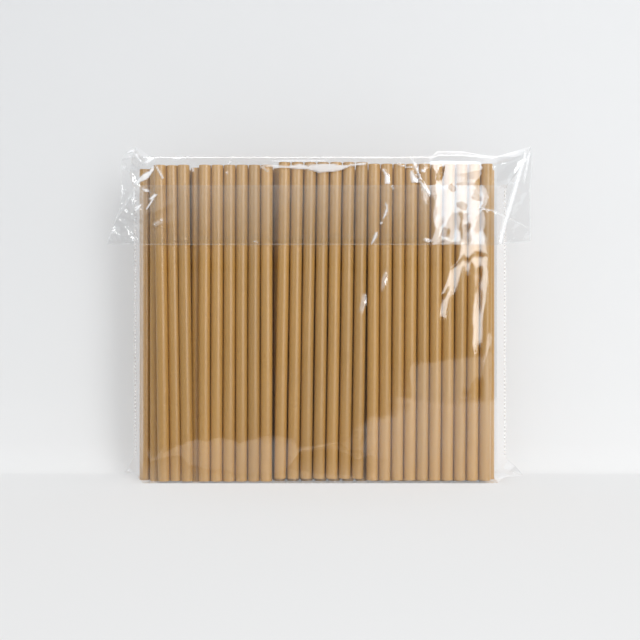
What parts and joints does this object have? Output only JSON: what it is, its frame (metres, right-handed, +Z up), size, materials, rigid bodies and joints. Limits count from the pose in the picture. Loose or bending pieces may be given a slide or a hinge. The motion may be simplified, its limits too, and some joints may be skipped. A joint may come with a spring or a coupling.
{
  "type": "bagged pack of drinking straws",
  "caption": "Clear film pouch with a glued flap, filled with upright plain brown kraft drinking straws in close rows.",
  "frame": {"origin": "middle of the whole pack's footprint, on the surface that it stands on", "axes": "+X to the right seen from the flap side, across the rows; +Y from the flap side to the back; +Z up along the straws"},
  "size_m": [0.2728, 0.0337, 0.2153],
  "materials": {
    "straw_paper": "matt brown kraft fibre with fine darker specks",
    "clear_film": "thin clear glossy film, creased at the corners",
    "flap_adhesive": "clear slightly milky glue line"
  },
  "bodies": {
    "root": {"straw_front_01": "straw_paper", "straw_front_02": "straw_paper", "straw_front_03": "straw_paper", "straw_front_04": "straw_paper", "straw_front_05": "straw_paper", "straw_front_06": "straw_paper", "straw_front_07": "straw_paper", "straw_front_08": "straw_paper", "straw_front_09": "straw_paper", "straw_front_10": "straw_paper", "straw_front_11": "straw_paper", "straw_front_12": "straw_paper", "straw_front_13": "straw_paper", "straw_front_14": "straw_paper", "straw_front_15": "straw_paper", "straw_front_16": "straw_paper", "straw_front_17": "straw_paper", "straw_front_18": "straw_paper", "straw_front_19": "straw_paper", "straw_front_20": "straw_paper", "straw_front_21": "straw_paper", "straw_front_22": "straw_paper", "straw_front_23": "straw_paper", "straw_front_24": "straw_paper", "straw_front_25": "straw_paper", "straw_front_26": "straw_paper", "straw_back_01": "straw_paper", "straw_back_02": "straw_paper", "straw_back_03": "straw_paper", "straw_back_04": "straw_paper", "straw_back_05": "straw_paper", "straw_back_06": "straw_paper", "straw_back_07": "straw_paper", "straw_back_08": "straw_paper", "straw_back_09": "straw_paper", "straw_back_10": "straw_paper", "straw_back_11": "straw_paper", "straw_back_12": "straw_paper", "straw_back_13": "straw_paper", "straw_back_14": "straw_paper", "straw_back_15": "straw_paper", "straw_back_16": "straw_paper", "straw_back_17": "straw_paper", "straw_back_18": "straw_paper", "straw_back_19": "straw_paper", "straw_back_20": "straw_paper", "straw_back_21": "straw_paper", "straw_back_22": "straw_paper", "straw_back_23": "straw_paper", "straws_second_row": "straw_paper", "straws_third_row": "straw_paper", "bag_film": "clear_film", "adhesive_strip": "flap_adhesive"}
  },
  "joints": []
}
